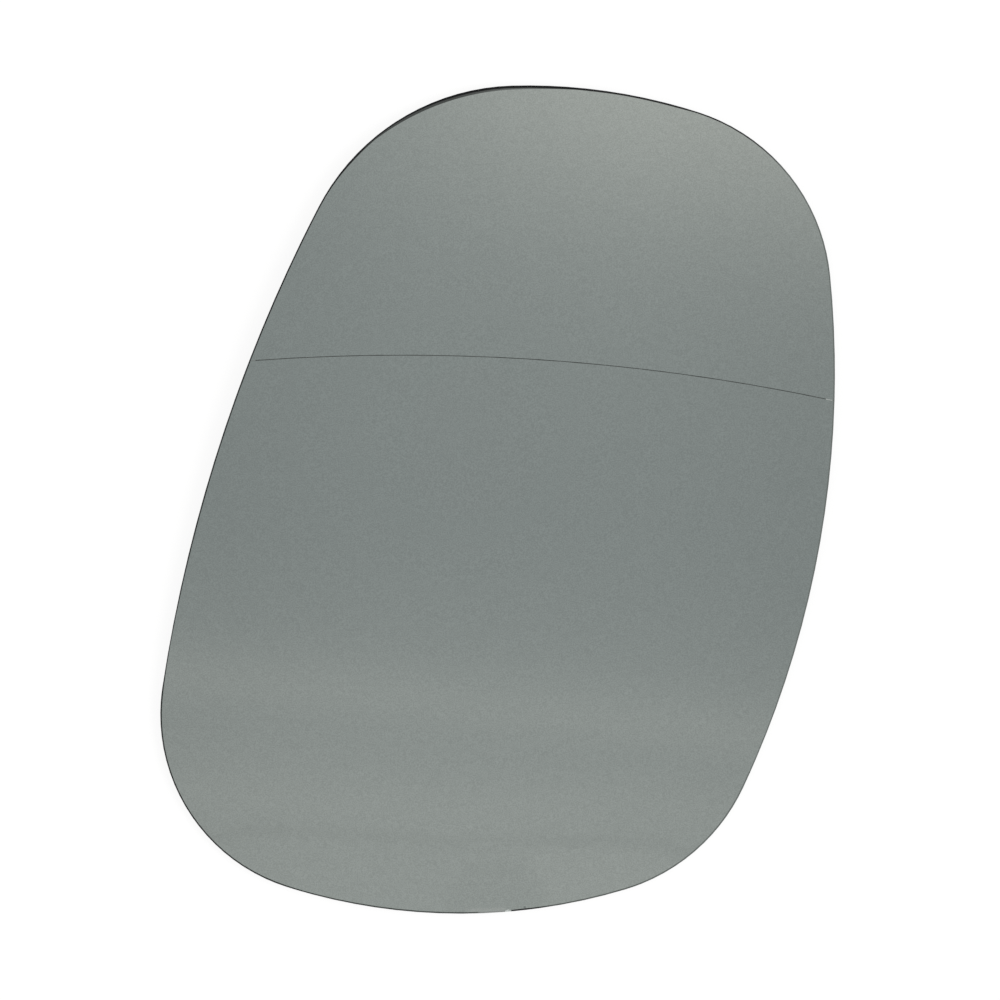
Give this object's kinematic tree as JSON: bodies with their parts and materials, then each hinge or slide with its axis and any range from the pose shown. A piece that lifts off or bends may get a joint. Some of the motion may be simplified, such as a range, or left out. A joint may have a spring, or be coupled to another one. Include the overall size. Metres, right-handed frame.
{
  "type": "car door mirror glass",
  "caption": "Convex pane of mirror glass with rounded corners for a car's door mirror, with an aspheric outboard zone set off by a fine dividing line.",
  "frame": {"origin": "under the middle of the pane's bounding box, on the surface that the pane lies on with its reflecting face up", "axes": "+Z out of the reflecting face, +Y towards the outboard end with the aspheric zone, +X to the right as the face is seen with the outboard end up"},
  "size_m": [0.1362, 0.17, 0.0057],
  "materials": {
    "mirror_glass": "polished mirror face with a faint green tint, ground edge, dark lacquered back"
  },
  "bodies": {
    "root": {"mirror_glass": "mirror_glass"}
  },
  "joints": []
}
